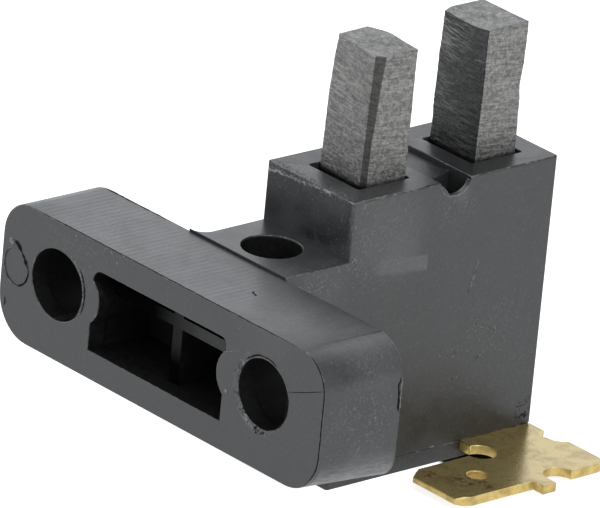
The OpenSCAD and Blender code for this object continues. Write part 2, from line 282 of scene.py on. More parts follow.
makeWorld(studio)
makeLamp(studio)
makeFloor(studio)
print("studio lit")

# The screw holes, in mm: what lies within the reach of a centre is stretched by shares and shifted.
farHole = {"centre": (-12.5, 0), "reach": 2.83, "stretch": (0.12, 0.04), "shift": (-0.05, -0.12)}
nearHole = {"centre": (12.5, 0), "reach": 2.83, "stretch": (0.055, 0.01), "shift": (0, -0.07)}

plastic = {
    "dark": (0.011, 0.0115, 0.0115),
    "pale": (0.02, 0.0205, 0.0205),
    "haze": (0.06, 0.061, 0.061),
    "scuff": (0.12, 0.12, 0.125),
    "powder": (0.19, 0.19, 0.19),
    "dust": (0.3, 0.3, 0.29),
    "chalk": (0.45, 0.45, 0.44),
    "rough": 0.34,
    "ior": 1.66,
    "sheen": 0.5,  # specular level, and that of the block's matt top
    "topSheen": 0.36,
    # black, for soot and for painted shade round the near hole's lip
    "sootAndShade": (0.002, 0.002, 0.002),
    # painted shade: the colours of faces deep in the holes, the recess and the pockets, and of the riser
    "deep": ((0.0055, 0.0055, 0.0055), (0.0115, 0.0115, 0.0115)),  # in the holes and the recess
    "hollow": (0.0022, 0.0022, 0.0022),  # on the ribs' unlit parts
    "hazedAndLit": [  # rubbed patches, and painted light on the notch's wall at (4.9, 25.9, 9.1): centre in mm, reach, strength
        ((5.2, 18.2, 7.4), 5.4, 0.6), ((5.2, 20, 5), 2.6, 0.7), ((5.2, 12.2, 4), 3.4, 0.35),
        ((18.6, 5.5, 4.2), 3.6, 0.55), ((19.4, 4.5, -4.6), 3.4, 0.45), ((3.4, 15.4, 10.3), 2.6, 0.8),
        ((17.2, 6.6, 5.2), 3.4, 0.6), ((11.5, 4.5, 5.2), 6, 0.6), ((15.8, 4, 5.2), 4.2, 0.8),
        ((5.2, 18.6, 7), 4.6, 0.35), ((4.9, 25.9, 9.1), 1.3, 1), ((19.4, 3.5, -5.6), 2.2, 0.8),
        ((0, 14.6, 10.3), 1.4, 0.5),
    ],
    "dusted": [  # thick fine dust: centre in mm, reach, strength
        ((5.2, 17.5, 6.5), 6, 1), ((5.2, 11.5, 4), 4, 0.9), ((17.5, 5.5, 4.6), 4.2, 1),
        ((5.2, 25.5, 8), 3, 0.6), ((-3.2, 14.6, 10.3), 2.8, 1), ((0.8, 14.6, 10.3), 2.8, 1),
        ((5.2, 15, 9.5), 2, 1), ((5.2, 31, -4), 7, 0.35), ((-10, 1.5, 5.2), 7, 0.45),
        ((19.4, 4, -1), 5.5, 0.7), ((14, 4, 5.2), 4.5, 0.7),
    ],
    "paleTopPatch": (13.5, 4, 5.2),  # mm, the middle of a paler patch on the flange's top
    "soot": (5.2, 35.2, -11.4),  # mm, a burnt place beside the blade's root
    "rubbedBar": ((16.9, 22.8), (3.25, 4.7)),  # mm, y and z of the bar on the near side
    "channel": ((-5.15, 5.15), (23.6, 26.7), (9.9, 10.1)),  # mm, the top's channel floor, made duller as painted shade
    "toolPitch": 0.62,  # mm between the tool lines on the flange's top
}


# The rubbed bar on the near side, which falls a little towards the back.
def rubbedBar(x, y, z, look):
    (left, right), (low, high) = look["rubbedBar"]
    slope = between(plus(z, times(y, 0.1)), low + 2, high + 2.2, 0.5, 0.3)
    return times(between(y, left, right + 0.12, 1.5, 0.12), slope, carry(x, 5.1, 5.19))


# The smear drawn along the foot of the flange's near end.
def smearedFoot(x, y, z):
    drawn = grain(1.8, 4, 0.7, stretch=(2.5, 0.5, 2.5))
    return times(carry(z, -5.2, -3.3, 1, 0), carry(x, 16, 17.5),
                 between(y, 0.2, 7.95, 0.4, 0.25), carry(drawn, 0.36, 0.64, 0.2, 0.8))


# A ring round the near screw hole's mouth, on the side towards the recess. Its pale chips are wear; its black
# is painted shade round the hole's lip.
def holeRim(x, y, z):
    away = addNode("CombineXYZ", {0: plus(x, -nearHole["centre"][0]), 1: z}).outputs[0]
    away = addNode("VectorMath", {0: away}, operation="LENGTH").outputs["Value"]
    slope = carry(plus(x, times(z, 0.5)), 9.5, 13.5, 1, 0)
    return times(between(away, 2.75, 3.7, 0.2, 0.6), slope, carry(y, 0.1, 0.3, 1, 0))


# The ragged top edge of the block's front: the whole band, and the lip on its lower side.
def frontEdge(x, y, z):
    ragged = plus(z, times(grain(1.1, 6, 0.8), 1.5), times(x, -0.07))
    band = times(between(y, 14.35, 14.55, 0.07, 0.05), carry(ragged, 10.74, 10.8))
    return band, times(band, carry(ragged, 10.9, 11.05, 1, 0))


# Faint tool lines across the flange's top, which wander and fade towards the near end.
def toolLines(x, y, z, look):
    wander = times(grain(0.5, 2), 3)
    wave = calc("SINE", plus(times(x, math.tau / look["toolPitch"]), wander))
    uneven = carry(grain(0.9, 3, 0.6, stretch=(1, 0.4, 1)), 0.4, 0.6, 0.35, 1.1)
    near = carry(x, 4, 13, 1, 0.1)
    return times(wave, uneven, near, carry(z, 4.9, 5.1, 0, 0.34), carry(y, 7.95, 8.1, 1, 0))


# Satin moulded plastic: cloudy dark grey with rubbed patches, dust specks, fine scratches, a
# grained skin, and faint tool lines across the flange's top. It also carries painted light on the
# notch's wall and painted shade in the top's channel and round the near hole's lip.
def plasticFinish(name, look, worn=0):
    finish, shader = newFinish(name, look["rough"], 0, look["ior"])
    x, y, z = placeAxes()
    clouds = grain(0.35, 5, 0.6, 0.4)
    fine = grain(2.6, 5, 0.75)
    dusty = carry(grain(3.2, 6, 0.85), 0.52, 0.66)
    powder = carry(grain(4.2, 4, 0.8, shift=(9, 2, 4)), 0.56, 0.65)
    rim = holeRim(x, y, z)
    chipped = carry(grain(1.9, 5, 0.8, shift=(1, 8, 2)), 0.47, 0.6)
    sootAndShade = carry(grain(1.6, 5, 0.8, shift=(6, 3, 1)), 0.52, 0.58)
    sooty = times(patch(look["soot"], 1.5, 0.7), 1.3)
    # Soot beside the blade's root and painted shade round the near hole's lip, blackened and made duller.
    stainAndShade = times(calc("MAXIMUM", rim, sooty), sootAndShade)
    band, lip = frontEdge(x, y, z)
    chalky = carry(grain(3.4, 4, 0.85), 0.52, 0.6, 0, 0.6)
    downward = grain(1.6, 2, 0.5, stretch=(0.35, 6, 6), turn=(12, 35, 20))
    across = grain(1.4, 2, 0.5, stretch=(6, 6, 0.3), turn=(-25, 10, 0))
    scratch = calc("MAXIMUM", carry(downward, 0.7, 0.76), carry(across, 0.71, 0.77))
    scratch = times(scratch, carry(grain(0.28, 2), 0.45, 0.6))
    where = carry(grain(0.22, 3, 0.6, shift=(3, 1, 7)), 0.46, 0.62)
    specks = times(carry(grain(7.5, 1, 0.4), 0.735, 0.79), where)
    color = blendColor(carry(clouds, 0.35, 0.65), look["dark"], look["pale"])
    color = layered(color, [
        (times(dusty, 0.62), look["haze"]),
        *patches(look["dusted"], 0.8, powder, look["powder"]),
        (times(rubbedBar(x, y, z, look), carry(dusty, 0.2, 0.8, 0.26, 0.5)), look["powder"]),
        # rubbed patches, and painted light on the notch's wall
        *patches(look["hazedAndLit"], 0.75, carry(fine, 0.25, 0.7, 0.3, 1), look["haze"]),
        (smearedFoot(x, y, z), look["powder"]),
        (times(rim, chipped), look["powder"]),
        (stainAndShade, look["sootAndShade"]),
        (times(band, chalky), look["powder"]),
        (times(lip, carry(fine, 0.38, 0.52, 0.15, 1)), look["chalk"]),
        (times(patch(look["paleTopPatch"], 5.5, 0.9), carry(fine, 0.3, 0.7, 0.16, 0.34)), look["powder"]),
        (times(scratch, 0.45), look["scuff"]),
        (times(specks, 0.7), look["dust"]),
    ])
    if worn:
        edge = carry(grain(1.7, 4, 0.65), 0.45, 0.68)
        color = blendColor(times(edge, worn), color, look["dust"])
    rough = carry(clouds, 0.3, 0.7, look["rough"] - 0.05, look["rough"] + 0.07)
    rough = plus(rough, times(plus(scratch, specks), 0.15))
    # Painted shade: the channel's floor between the brushes is made duller.
    channelShade = times(*(between(value, *ends, 0.03, 0.03) for value, ends in zip((x, y, z), look["channel"])))
    sheen = times(carry(z, 10.15, 10.3, look["sheen"], look["topSheen"]),
                  plus(1, times(channelShade, -0.6)), plus(1, times(stainAndShade, -0.7)))
    height = plus(grain(4.2, 5, 0.8), toolLines(x, y, z, look), times(scratch, -0.5))
    vary(shader, color, rough, height, 0.02, 0.75, sheen)
    return finish


# The same plastic deep in a hole or a recess, nearly black: painted shade. The ribs' near parts,
# the wall behind them, the notch and the riser's upper part take painted light.
def deepFinish(name, look):
    finish, shader = newFinish(name, 0.5, 0, look["ior"])
    x, y, z = placeAxes()
    mottle = grain(2, 4, 0.7)
    ribs = between(y, 1.65, 1.75, 0.04, 0.04)
    onLevel = carry(z, 0.55, 0.65)
    lit = times(ribs, onLevel, carry(x, -2, 5, 0, 0.9), 0.5)
    notch = times(carry(z, 8.2, 9.6), carry(y, 25.4, 26.6), 0.9)
    wallLight = times(carry(y, 5.9, 6.1), carry(z, -2.2, -1.4, 0, 0.5), carry(x, 0.8, 1.5))
    lip = times(carry(z, 5.165, 5.19), carry(y, 7.9, 7.95))
    for share in (notch, wallLight, lip):
        lit = calc("MAXIMUM", lit, share)
    # painted shade on the ribs' lower and left parts
    low = times(plus(1, times(onLevel, -1)), carry(z, -2.6, -0.3, 1, 0.1))
    left = times(onLevel, carry(x, -3, 1, 1, 0))
    hidden = times(ribs, plus(low, left))
    color = blendColor(carry(mottle, 0.35, 0.7), *look["deep"])
    color = layered(color, [(hidden, look["hollow"]), (lit, look["pale"])])
    shine = plus(carry(lit, 0, 0.8, 0.08, 0.4), times(hidden, -0.08))
    vary(shader, color, carry(mottle, 0.3, 0.7, 0.45, 0.6), mottle, 0.03, 0.5, shine)
    return finish


# A plain pale or black state of the same plastic, for marks of their own: scrapes and soot, and painted
# highlights and painted shade.
def markFinish(name, low, high, rough, sheen=0.5):
    finish, shader = newFinish(name, rough, 0, 1.5)
    mottle = grain(4, 4, 0.7)
    color = blendColor(carry(mottle, 0.35, 0.65), low, high)
    vary(shader, color, carry(mottle, 0.3, 0.7, rough - 0.1, rough + 0.1), mottle, 0.03, 0.6, sheen)
    return finish


graphite = {
    "dark": (0.112, 0.111, 0.106),
    "pale": (0.375, 0.368, 0.348),
    "smear": (0.6, 0.59, 0.56),
    "smeared": [((-1.8, 17.8, 17), 3.5, 0.25)],  # paler patches: centre in mm, reach, strength
    "rough": 0.5,
}
groundLook = {  # the narrow flat ground on one edge
    "dark": (0.045, 0.044, 0.041),
    "pale": (0.105, 0.103, 0.096),
    "smear": (0.17, 0.165, 0.155),
    "smeared": [],
    "rough": 0.45,
}
burnished = {  # the rubbed faces, darker with pale smears
    "dark": (0.022, 0.022, 0.022),
    "pale": (0.085, 0.085, 0.084),
    "smear": (0.34, 0.34, 0.33),
    "smeared": [
        ((-2, 29.4, 19.8), 3.6, 0.5), ((-2.6, 29.4, 14.5), 3, 0.25), ((0.5, 29.4, 12), 2.4, 0.2),
    ],
    "rough": 0.45,
}


# Sawn carbon graphite: mottled grain, level saw streaks and a few pale slanting scratches. It is
# darker at the top; painted shade darkens the front brush's left face and the part down in the pocket.
def graphiteFinish(name, look):
    finish, shader = newFinish(name, look["rough"], 0.85, 2)
    x, y, z = placeAxes()
    mottle = grain(3.2, 5, 0.75)
    pores = carry(grain(6.5, 2, 0.5), 0.3, 0.42, 1, 0)
    streak = grain(1.3, 4, 0.7, 0.6, stretch=(0.5, 0.5, 5), turn=(6, -5, 0))
    tone = plus(times(mottle, 0.6), times(streak, 0.4))
    slant = grain(1.1, 3, 0.6, 0.3, stretch=(0.45, 0.45, 7), turn=(-9, 12, 0))
    # painted shade on the front brush's left face
    left = times(carry(y, 18.5, 18.9, 0.22, 0), carry(x, 1.95, 2.15, 1, 0), carry(z, 20.8, 21, 1, 0))
    color = blendColor(carry(tone, 0.38, 0.64), look["dark"], look["pale"])
    color = layered(color, [
        (times(carry(slant, 0.6, 0.72), carry(mottle, 0.4, 0.6), 0.6), look["smear"]),
        (times(pores, 0.6), look["dark"]),
        *patches(look["smeared"], 0.8, carry(streak, 0.45, 0.62), look["smear"]),
        (left, look["dark"]),
        (carry(z, 20.7, 21.1, 0, 0.2), look["dark"]),
        # painted shade, nearly black, down in the pocket
        (carry(z, 9.9, 10.5, 0.97, 0), (0.003, 0.003, 0.003)),
    ])
    rough = carry(mottle, 0.3, 0.7, look["rough"] - 0.08, look["rough"] + 0.12)
    height = plus(mottle, times(streak, 0.8), times(pores, -0.6))
    vary(shader, color, rough, height, 0.05, 0.8)
    return finish


brass = {
    "clean": (0.49, 0.375, 0.135),
    "tarnish": (0.33, 0.225, 0.075),
    "brown": (0.17, 0.09, 0.03),
    "rough": 0.19,
    "metal": 0.68,
    "smudge": 0.9,
    "smudged": [((11.4, 23.3, -12.7), 1.7), ((12.9, 24.2, -12.7), 1.2), ((9.2, 21.6, -12.7), 1)],
}
# The sheared faces are cleaner brass, also painted lighter to stand for highlights on cut faces and broken
# edges.
shearedBrassAndHighlight = dict(brass, clean=(0.72, 0.55, 0.19), tarnish=(0.46, 0.32, 0.1), rough=0.22, smudge=0.2)


# Stamped sheet brass: rolled grain, a thin uneven tarnish, fine scores and brown smudges by the tip.
def brassFinish(name, look, cut=False):
    finish, shader = newFinish(name, look["rough"], look["metal"], 1.5)
    fill(shader, {"Coat Weight": 0.3, "Coat Roughness": 0.15})
    clouds = grain(0.7, 5, 0.65, 0.5)
    rolled = grain(2.2, 3, 0.6, stretch=(0.6, 7, 1), turn=(0, 0, 14))
    spots = carry(grain(2.6, 4, 0.7, shift=(2, 5, 0)), 0.6, 0.74)
    rings = carry(grain(1.9, 3, 0.6, 1.2), 0.46, 0.6)
    smudged = [(centre, reach, look["smudge"]) for centre, reach in look["smudged"]]
    along = carry(grain(1.5, 3, 0.6, stretch=(0.4, 7, 3), turn=(0, 0, 40)), 0.64, 0.7)
    across = carry(grain(1.5, 3, 0.6, stretch=(7, 0.4, 3), turn=(0, 0, 12)), 0.64, 0.7)
    tarnish = times(carry(clouds, 0.42, 0.66), 0.75)
    color = blendColor(tarnish, look["clean"], look["tarnish"])
    color = layered(color, [
        (times(spots, 0.75), look["tarnish"]),
        *patches(smudged, 0.5, rings, look["brown"]),
        (times(calc("MAXIMUM", along, across), 0.5), look["brown"]),
    ])
    rough = carry(clouds, 0.3, 0.7, look["rough"] - 0.05, look["rough"] + 0.07)
    rough = plus(rough, times(rolled, 0.08))
    height = plus(rolled, times(clouds, 0.5))
    if cut:  # sheared edges: scored down their height, rougher
        rough = plus(rough, 0.1)
        height = plus(height, times(grain(1.6, 3, 0.6, stretch=(6, 6, 0.5)), 2))
    vary(shader, color, rough, height, 0.012, 0.6)
    return finish


# Drawn wire: fine lines along the height, half of them duller.
def wireFinish(name, color, rough):
    finish, shader = newFinish(name, rough, 1, 1.5)
    drawn = grain(3, 3, 0.6, stretch=(1, 1, 6))
    color = blendColor(carry(drawn, 0.4, 0.7), color, [c * 0.6 for c in color])
    fill(shader, {"Base Color": color, "Roughness": carry(drawn, 0.3, 0.7, rough - 0.08, rough + 0.1)})
    return finish


finishes = {
    "moulding": plasticFinish("mouldedPlastic", plastic),
    "mouldingEdge": plasticFinish("wornPlasticEdge", plastic, 0.4),
    "deep": deepFinish("shadedPlastic", plastic),
    "scrapedAndHighlit": markFinish("scrapedAndHighlitPlastic", (0.06, 0.06, 0.06), (0.24, 0.24, 0.23), 0.6),
    "scuffed": markFinish("scuffedPlastic", (0.025, 0.025, 0.025), (0.14, 0.14, 0.135), 0.6),
    "sootAndShade": markFinish("blackAndShadedPlastic", (0.001, 0.001, 0.001), (0.005, 0.005, 0.005), 0.7, 0.12),
    "carbon": graphiteFinish("sawnGraphite", graphite),
    "carbonDark": graphiteFinish("burnishedGraphite", burnished),
    "carbonGround": graphiteFinish("groundGraphite", groundLook),
    "brass": brassFinish("sheetBrass", brass),
    "brassCut": brassFinish("shearedBrassAndHighlight", shearedBrassAndHighlight, True),
    "steel": wireFinish("springWire", (0.58, 0.58, 0.6), 0.3),
    "copper": wireFinish("copperBraid", (0.75, 0.42, 0.24), 0.35),
}
print("finishes mixed")

bodies = {node: body for body, members in frame["record"]["behaviour"]["bodies"].items() for node in members}


# Puts a mesh into the scene with its finishes, riding on its node's body.
def install(name, mesh, node, used, stands=True):
    piece = addObject(name, mesh)
    for finish in used:
        mesh.materials.append(finishes[finish])
    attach(piece, bodies[node])
    if stands:
        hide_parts(node)
    return piece


# A mesh from points in mm and faces, all smooth, with a finish number for each face.
def newMesh(name, points, faces, used=None):
    mesh = bpy.data.meshes.new(name)
    mesh.from_pydata(np.asarray(points) * mm, [], faces)
    mesh.polygons.foreach_set("use_smooth", np.ones(len(faces), bool))
    if used is not None:
        mesh.polygons.foreach_set("material_index", np.asarray(used, np.int32))
    mesh.update()
    return mesh


anywhere = (-99, 99)
keptSharp = [  # mm, x, y and z ranges of edges that stay unbroken
    (anywhere, (7.98, 8.02), (5.1, 5.4)),  # along the riser
    (anywhere, (7.98, 8.02), (-3.2, 3.2)),  # round the back of the screw holes
]


def inside(at, box):
    return all(low < value < high for value, (low, high) in zip(at, box))


# A copy of a CAD node with its doubles merged and its flat faces whole. Its sharp edges are broken
# by a narrow bevel that takes the last of its finishes, except those between two deep faces.
def edgedCopy(name, node, width, used, shape=None):
    mesh = frame["nodes"][node].data.copy()
    mesh.materials.clear()
    work = bmesh.new()
    work.from_mesh(mesh)
    bmesh.ops.remove_doubles(work, verts=work.verts, dist=1e-6)
    bmesh.ops.dissolve_limit(work, angle_limit=math.radians(0.3), verts=work.verts, edges=work.edges)
    for face in work.faces:
        face.smooth = True
        face.material_index = 0
    if shape:
        shape(work)
    work.normal_update()
    weight = work.edges.layers.float.new("bevel_weight_edge")
    deep = used.index("deep") if "deep" in used else -1
    for line in work.edges:
        sharp = len(line.link_faces) == 2 and line.calc_face_angle() > math.radians(32)
        middle = (line.verts[0].co + line.verts[1].co) / 2 / mm
        kept = deep > 0 and any(inside(middle, box) for box in keptSharp)
        shown = any(face.material_index != deep for face in line.link_faces)
        line[weight] = float(sharp and shown and line.is_convex and not kept)
        line.smooth = not sharp or line[weight] > 0
    work.to_mesh(mesh)
    work.free()
    piece = install(name, mesh, node, used)
    edge = piece.modifiers.new("brokenEdges", "BEVEL")
    edge.width = width * mm
    edge.segments = 2
    edge.limit_method = "WEIGHT"
    edge.use_clamp_overlap = False
    edge.material = len(used) - 1
    piece.modifiers.new("flatFacesFlat", "WEIGHTED_NORMAL").keep_sharp = True
    return piece


backCorner = {"centre": (15.85, -2.8), "reach": 3.6, "radius": 2, "behind": 7.5}
recessCorner = {"from": (-7.72, 2.2), "to": (-7.35, 1.83), "radius": 0.97, "reach": 0.7, "behind": 7.9}
blockWear = {  # mm
    "top": (10.2, 35.5, 0.1, -5, 0.07),  # above this z it rises past a y by so much, and past an x
    "back": (35.5, 6, 0.07),  # past this y and within this x it stands out by so much
    "notch": (25.15, 1.65, 4.6, 8.6, 10.3),  # its middle y and reach, from this x, its z range
    "notchDepth": 0.8,  # the share of its depth that is left
}
deepBoxes = [  # mm, x, y and z ranges of the faces that take the painted shade: deep ones and the riser
    ((-8.37, 7.83), (0.05, 7.9), (-4.1, 2.85)),  # the recess
    ((-15.7, -9.3), (0.05, 7.95), (-3, 3)),  # the screw holes
    ((9.3, 15.7), (0.05, 7.95), (-3, 3)),
    (anywhere, (7.98, 8.02), (5.15, 5.36)),  # the riser
]
pocketBox = ((-4.65, 4.65), (16.5, 34.5), (-12.7, 10))
neckHole = {"centre": (-0.4, 11.3), "reach": 2.5}


# How far a tighter corner lies from the wide corner's centre in a direction with the cosines a and b:
# the reach over the larger one on its straight sides, and the far root of |t d - c| = r on its arc.
def tighterReach(a, b):
    across, along = sorted((a, b))
    reach, radius = backCorner["reach"], backCorner["radius"]
    inner = reach - radius
    if reach * across < inner * along:
        return reach / along
    near = (along + across) * inner
    return near + math.sqrt(max(near ** 2 - 2 * inner ** 2 + radius ** 2, 0))


# How far a point lies from a middle along the two ways, and in all.
def measure(x, z, middle):
    return x - middle[0], z - middle[1], math.hypot(x - middle[0], z - middle[1])


# The screw holes are worn a little wider than they were moulded, the flange's near bottom corner
# is tighter at the back, a corner of the recess is rounder, and the block's top and back stand up a
# little. Faces deep in a hole, the recess or a pocket, and the riser, take the finish painted with shade.
def wearHolder(work):
    topZ, backY, backRise, farX, farRise = blockWear["top"]
    faceY, faceX, faceOut = blockWear["back"]
    notchY, notchReach, notchX, notchLow, notchTop = blockWear["notch"]
    for vert in work.verts:
        x, y, z = vert.co / mm
        for hole in (farHole, nearHole):
            a, b, away = measure(x, z, hole["centre"])
            if away < hole["reach"]:
                x += a * hole["stretch"][0] + hole["shift"][0]
                z += b * hole["stretch"][1] + hole["shift"][1]
        a, b, away = measure(x, z, backCorner["centre"])
        if a > -0.01 and b < 0.01 and y > backCorner["behind"]:
            stretch = tighterReach(a / away, -b / away) / away - 1
            x, z = x + a * stretch, z + b * stretch
        a, b, away = measure(x, z, recessCorner["from"])
        if a < 0.01 and b > -0.01 and away < recessCorner["reach"] and y < recessCorner["behind"]:
            x = recessCorner["to"][0] + recessCorner["radius"] * a / away
            z = recessCorner["to"][1] + recessCorner["radius"] * b / away
        if z > topZ:
            z += backRise * (y > backY) + farRise * (x < farX)
        if y > faceY and abs(x) < faceX:
            y += faceOut
        if x > notchX and notchLow < z < notchTop and abs(y - notchY) < notchReach:
            z = notchTop + (z - notchTop) * blockWear["notchDepth"]
        vert.co = (x * mm, y * mm, z * mm)
    for face in work.faces:
        face.material_index = int(isDeep(face.calc_center_median() / mm, face.normal))


def isDeep(at, way):
    inBore = inside(at, pocketBox) or measure(at.x, at.y, neckHole["centre"])[2] < neckHole["reach"]
    return any(inside(at, box) for box in deepBoxes) or inBore and abs(way.z) < 0.5


blade = {  # mm
    "bend": 28.35,  # it slopes in front of this y
    "rise": 0.001,  # mm up for each mm forwards
    "from": 7.9,  # and only past this x
    "tip": (22, 0.1),  # in front of this y it ends short by so much
    "inner": (8.2, 0.1),  # nearer than this x it is wider by so much
    "back": (34, 8, 0.27),  # past this y and this x it is longer by so much
}


# The near blade rises slightly in front of its root, ends a little short and is a little wider on
# its inner side; its sheared faces take their own finish.
def bendBlade(work):
    everything = work.verts[:] + work.edges[:] + work.faces[:]
    bmesh.ops.bisect_plane(work, geom=everything, plane_co=(0, blade["bend"] * mm, 0), plane_no=(0, 1, 0))
    for vert in work.verts:
        x, y, z = vert.co / mm
        if x > blade["from"] and y < blade["bend"]:
            z += (blade["bend"] - y) * blade["rise"]
            y += (y < blade["tip"][0]) * blade["tip"][1]
            x -= (x < blade["inner"][0]) * blade["inner"][1]
        if y > blade["back"][0] and x > blade["back"][1]:
            y += blade["back"][2]
        vert.co = (x * mm, y * mm, z * mm)
    shearFaces(work)


# Faces that don't lie level were cut by the stamp, and take the second finish.
def shearFaces(work):
    work.normal_update()
    for face in work.faces:
        face.material_index = int(abs(face.normal.z) < 0.5)


edgedCopy("holderShell", "holder_body", 0.09, ["moulding", "deep", "mouldingEdge"], wearHolder)
edgedCopy("coverPlate", "base_cover", 0.06, ["moulding", "mouldingEdge"])
edgedCopy("bladeNear", "terminal_near", 0.08, ["brass", "brassCut"], bendBlade)
edgedCopy("bladeFar", "terminal_far", 0.08, ["brass", "brassCut"], shearFaces)
print("mouldings and blades edged")


# Vectors scaled to a length of one.
def unit(vectors):
    return vectors / np.linalg.norm(vectors, axis=-1, keepdims=True)


# Angles evenly round a ring.
def angles(count):
    return np.arange(count) / count * math.tau


# Points at a radius and an angle round (x, y), at the height z.
def around(x, y, radius, a, z):
    return np.stack(np.broadcast_arrays(x + radius * np.cos(a), y + radius * np.sin(a), z), -1)


# Faces of a closed skin over rings of points: quads between the rings and a fan on each end.
def skinFaces(rings, count, first=0):
    i, j = np.meshgrid(np.arange(rings - 1), np.arange(count), indexing="ij")
    k = (j + 1) % count
    quads = np.stack([i * count + j, i * count + k, (i + 1) * count + k, (i + 1) * count + j], -1)
    j = np.arange(count)
    k, low, high = (j + 1) % count, rings * count, rings * count + 1
    top = (rings - 1) * count
    fans = [np.stack([k, j, np.full(count, low)], 1), np.stack([top + j, top + k, np.full(count, high)], 1)]
    return (quads.reshape(-1, 4) + first).tolist() + (np.concatenate(fans) + first).tolist()


# Points of that skin: the rings in order, then the middle of the first and of the last.
def skinPoints(rings):
    return np.concatenate([rings.reshape(-1, 3), [rings[0].mean(0)], [rings[-1].mean(0)]])


# A smooth random field of -1 to 1: values on a coarse grid that closes round, eased between.
def field(seed, rows, columns, coarseRows, coarseColumns):
    coarse = np.random.default_rng(seed).uniform(-1, 1, (coarseRows + 2, coarseColumns))
    coarse = np.concatenate([coarse, coarse[:, :1]], 1)
    r = np.linspace(0, coarseRows, rows)
    c = np.linspace(0, coarseColumns, columns, endpoint=False)
    i, j = r.astype(int), c.astype(int)
    u, w = (r - i)[:, None], (c - j)[None]
    u, w = u * u * (3 - 2 * u), w * w * (3 - 2 * w)
    low, high = (row[:, j] * (1 - w) + row[:, j + 1] * w for row in (coarse[i], coarse[i + 1]))
    return low * (1 - u) + high * u


# How both brushes are cut up, in mm: level rings a long way apart in the pocket and close above it.
sawing = {
    "foot": 3.4,
    "hidden": (9.9, 12),  # the last ring in the pocket, and their count
    "shown": (10, 21.3, 0.085),  # the first ring above it, the top and the step
    "grain": 0.009,
    "sunk": 0.01,  # the whole skin lies this much inside the outline
    "capInsets": (0.012, 0.03, 0.08, 0.16, 0.25, 0.36, 0.48, 0.6, 0.72, 0.84, 0.94),
    "capGrain": 0.012,
    "capEdge": 0.03,  # height of the edge's tiny chamfer, and its inset
}
# Corners go anticlockwise seen from above: where each stands at each height, in mm.
frontBrush = {
    "heights": (3.4, 10.4, 13.9, 16, 18.6, 21.2),
    "corners": [
        ((-2.87,), (17.78, 17.83, 17.93, 18.02, 18.18, 18.52)),  # far front
        ((2.1, 2.1, 2.09, 2.08, 2.06, 2.05), (17.62, 17.63, 17.72, 17.82, 17.9, 18)),
        ((2.63,), (17.86, 17.9, 18.02, 18.25, 18.42, 18.76)),  # near front
        ((2.63,), (22.06, 22.06, 22.04, 22.06, 22.04, 22.06)),  # near back
        ((-2.3, -2.2, -1.9, -1.6, -1.2, -0.81), (22.06,) * 6),
        ((-2.87,), (21.9, 21.9, 21.8, 21.7, 21.6, 21.55)),  # far back
    ],
    "samples": (62, 7, 52, 44, 14, 44),
    "finish": (0, 2, 0, 0, 0, 0),
    "rounding": 0.6,
    "waves": 0.018,
    "saw": 0.01,
    "socket": (-0.12, 19.84, 0.8, 3.5),  # x, y, radius, depth
    "seed": 11,
}
rearBrush = {
    "heights": (3.4, 10.4, 11.9, 14.7, 15.8, 16.6, 17.6, 18.7, 19.7, 20.4, 21.3),
    "corners": [
        ((-2.87,), (29.4, 29.4, 29.4, 29.4, 29.42, 29.43, 29.47, 29.52, 29.6, 29.6, 29.6)),
        ((2.63,), (29.34, 29.34, 29.35, 29.42, 29.47, 29.47, 29.47, 29.46, 29.45, 29.45, 29.5)),
        ((2.63,), (33.65, 33.65, 33.67, 33.62, 33.5, 33.52, 33.66, 33.72, 33.78, 33.78, 33.74)),
        ((-2.87,), (33.7, 33.7, 33.7, 33.7, 33.7, 33.72, 33.74, 33.76, 33.78, 33.78, 33.78)),
    ],
    "samples": (66, 54, 66, 54),
    "finish": (1, 0, 0, 0),
    "rounding": 0.7,
    "waves": 0.022,
    "saw": 0.016,
    "socket": (-0.12, 31.56, 0.8, 3.5),
    "seed": 23,
}


# The front brush's top: a plane that falls a little, with one low round crest.
def frontTop(x, y):
    crest = 0.12 * np.exp(-((x + 0.8) ** 2 + (y - 22) ** 2) / 2)
    return 21.05 + 0.03 * (y - 20) - 0.035 * x + crest


# The rear brush's top: hollow across, with a worn far corner, a sag along the front and a back part
# that rises in the middle.
def rearTop(x, y):
    corner = 0.2 * np.exp(-((x + 2.85) ** 2 + (y - 29.6) ** 2) / 0.2)
    sag = 0.05 * np.exp(-((y - 29.5) ** 2) / 0.5)
    back = 0.27 * np.clip((y - 30.5) / 3.2, 0, 1) * (1 - (x / 2.87) ** 2)
    return 21.06 + 0.036 * x * x - corner - sag + back


